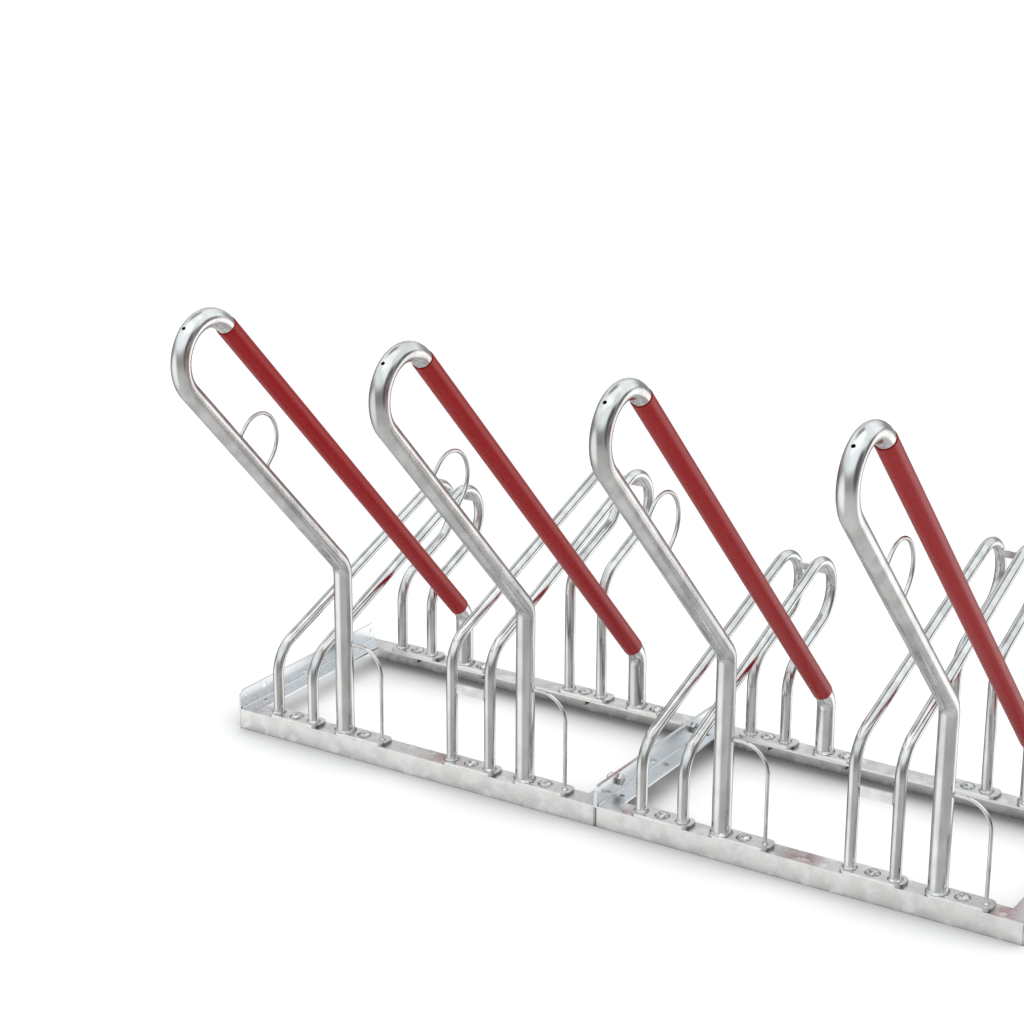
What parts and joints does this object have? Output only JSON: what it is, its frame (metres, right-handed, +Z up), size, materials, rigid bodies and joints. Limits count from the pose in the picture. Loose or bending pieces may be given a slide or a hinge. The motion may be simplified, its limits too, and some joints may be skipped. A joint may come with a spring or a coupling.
{
  "type": "bicycle parking rack",
  "caption": "Floor-standing bicycle rack: bolted angle base, paired bent-tube wheel holders at two heights, and tall leaning hoops with grip sleeves and lock eyes.",
  "frame": {"origin": "on the ground, below the middle of the rack's outline", "axes": "+X along the rack, to the right as a rider sees it who pushes a bicycle in; +Y to the rear, the way a wheel goes in; +Z up"},
  "size_m": [1.4, 0.9126, 0.8189],
  "materials": {
    "hoop_tube": "galvanised tube, bright",
    "rod_steel": "galvanised rod and bar",
    "plate_steel": "galvanised plate",
    "rail_steel": "galvanised, mottled",
    "fastener_steel": "zinc plated",
    "red_plastic": "satin"
  },
  "bodies": {
    "root": {"lean_hoop_1": "hoop_tube", "lean_hoop_2": "hoop_tube", "lean_hoop_3": "hoop_tube", "lean_hoop_4": "hoop_tube", "grip_sleeve_1": "red_plastic", "grip_sleeve_2": "red_plastic", "grip_sleeve_3": "red_plastic", "grip_sleeve_4": "red_plastic", "lock_eye_1": "rod_steel", "lock_eye_2": "rod_steel", "lock_eye_3": "rod_steel", "lock_eye_4": "rod_steel", "stay_rod_1": "rod_steel", "stay_rod_2": "rod_steel", "stay_rod_3": "rod_steel", "stay_rod_4": "rod_steel", "wheel_hoop_left_1": "hoop_tube", "wheel_hoop_left_2": "hoop_tube", "wheel_hoop_left_3": "hoop_tube", "wheel_hoop_left_4": "hoop_tube", "wheel_hoop_right_1": "hoop_tube", "wheel_hoop_right_2": "hoop_tube", "wheel_hoop_right_3": "hoop_tube", "wheel_hoop_right_4": "hoop_tube", "hoop_tie_1": "plate_steel", "hoop_tie_2": "plate_steel", "hoop_tie_3": "plate_steel", "hoop_tie_4": "plate_steel", "wheel_rest_2": "rod_steel", "wheel_rest_4": "rod_steel", "wheel_plate_front_1": "plate_steel", "wheel_plate_front_2": "plate_steel", "wheel_plate_front_3": "plate_steel", "wheel_plate_front_4": "plate_steel", "wheel_plate_rear_1": "plate_steel", "wheel_plate_rear_2": "plate_steel", "wheel_plate_rear_3": "plate_steel", "wheel_plate_rear_4": "plate_steel", "lean_plate_front_1": "plate_steel", "lean_plate_front_2": "plate_steel", "lean_plate_front_3": "plate_steel", "lean_plate_front_4": "plate_steel", "lean_plate_rear_1": "plate_steel", "lean_plate_rear_2": "plate_steel", "lean_plate_rear_3": "plate_steel", "lean_plate_rear_4": "plate_steel", "front_rail_1": "rail_steel", "front_rail_2": "rail_steel", "rear_rail_1": "rail_steel", "rear_rail_2": "rail_steel", "cross_angle_1": "rail_steel", "cross_angle_2": "rail_steel", "cross_angle_3": "rail_steel", "cross_angle_4": "rail_steel", "foot_bolts": "fastener_steel", "foot_washers": "fastener_steel", "foot_nuts": "fastener_steel", "joint_bolts": "fastener_steel", "joint_washers": "fastener_steel", "joint_nuts": "fastener_steel"}
  },
  "joints": []
}
